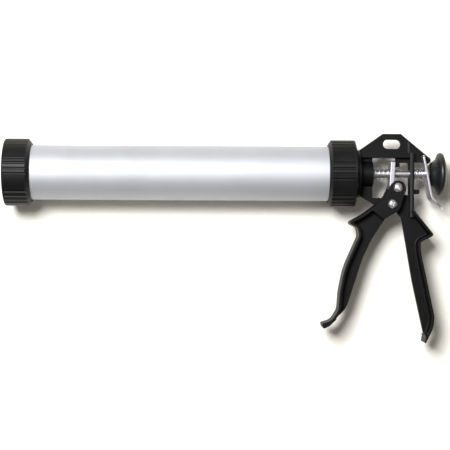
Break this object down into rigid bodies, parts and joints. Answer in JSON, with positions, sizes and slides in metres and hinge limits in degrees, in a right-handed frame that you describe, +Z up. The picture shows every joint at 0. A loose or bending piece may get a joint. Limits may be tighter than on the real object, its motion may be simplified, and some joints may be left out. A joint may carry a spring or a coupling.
{
  "type": "caulking gun",
  "caption": "Open-barrel caulking gun for foil packs, with screw caps, swivelling barrel, plunger, drive and release plates, trigger and rear handle.",
  "frame": {"origin": "centre of the nozzle opening, in the front face of the front cap", "axes": "+X along the barrel axis from the nozzle opening to the knob, +Y towards the hang plate and away from the handles, +Z up out of the frame's middle plane, with the gun lying on its side"},
  "size_m": [0.4296, 0.2029, 0.0652],
  "materials": {
    "black_casting": "black powder coat on die-cast aluminium",
    "black_nylon": "moulded glass-filled nylon, satin",
    "barrel_aluminium": "satin anodised",
    "zinc_steel": "bright zinc plated",
    "spring_steel": "bright zinc plated wire",
    "seal_rubber": "soft nitrile",
    "seal_plastic": "natural polyethylene",
    "knob_plastic": "semi-matt black",
    "bush_plastic": "natural acetal",
    "brass": "turned"
  },
  "bodies": {
    "frame": {"frame": "black_casting", "rod_bush": "bush_plastic", "swivel_washer": "zinc_steel", "hub_nut": "zinc_steel", "drive_spring": "spring_steel", "release_spring": "spring_steel"},
    "barrel": {"barrel_tube": "barrel_aluminium", "rear_cap": "black_nylon"},
    "seal": {"front_seal": "seal_rubber"},
    "cap": {"front_cap": "black_nylon"},
    "plunger": {"plunger_rod": "zinc_steel", "knob": "knob_plastic", "knob_insert": "brass", "piston_front_nut": "zinc_steel", "piston_head": "zinc_steel", "piston_seal": "seal_plastic", "piston_back_plate": "zinc_steel", "piston_lock_washer": "spring_steel", "piston_rear_nut": "zinc_steel"},
    "drive": {"drive_plate": "zinc_steel"},
    "release": {"release_plate": "zinc_steel"},
    "trigger": {"trigger": "black_casting", "pivot_screw": "zinc_steel", "pivot_post": "zinc_steel", "push_screw": "zinc_steel", "push_nut": "zinc_steel"},
    "roller": {"push_roller": "zinc_steel"}
  },
  "joints": [
    {"name": "barrel_swivel", "type": "hinge", "parent": "frame", "child": "barrel", "pos_m": [0.336, 0, 0], "axis": [1, 0, 0], "continuous": true},
    {"name": "front_cap_travel", "type": "slide", "parent": "barrel", "child": "seal", "axis": [-1, 0, 0], "range_m": [0, 0.0161]},
    {"name": "front_cap_turn", "type": "hinge", "parent": "seal", "child": "cap", "pos_m": [0.01, 0, 0], "axis": [-1, 0, 0], "range_deg": [0, 1440]},
    {"name": "plunger_slide", "type": "slide", "parent": "frame", "child": "plunger", "axis": [1, 0, 0], "range_m": [0, 0.292]},
    {"name": "trigger_pivot", "type": "hinge", "parent": "frame", "child": "trigger", "pos_m": [0.3747, -0.0293, 0], "axis": [0, 0, 1], "range_deg": [0, 30], "stiffness_Nm_per_rad": 0.6, "springref_deg": -8.59},
    {"name": "drive_slide", "type": "slide", "parent": "frame", "child": "drive", "axis": [-1, 0, 0], "range_m": [0, 0.0088], "deforming": ["drive_spring"]},
    {"name": "release_tilt", "type": "hinge", "parent": "frame", "child": "release", "pos_m": [0.4066, 0.011, 0], "axis": [0, 0, -1], "range_deg": [0, 10.5], "stiffness_Nm_per_rad": 0.08, "springref_deg": -11.46, "deforming": ["release_spring"]},
    {"name": "roller_spin", "type": "hinge", "parent": "trigger", "child": "roller", "pos_m": [0.38, -0.0134, 0], "axis": [0, 0, 1], "continuous": true}
  ],
  "couplings": [
    {"joint": "drive_slide", "follows": "trigger_pivot", "m_per_rad": 0.01655},
    {"joint": "front_cap_travel", "follows": "front_cap_turn", "m_per_rad": 0.00063662}
  ]
}
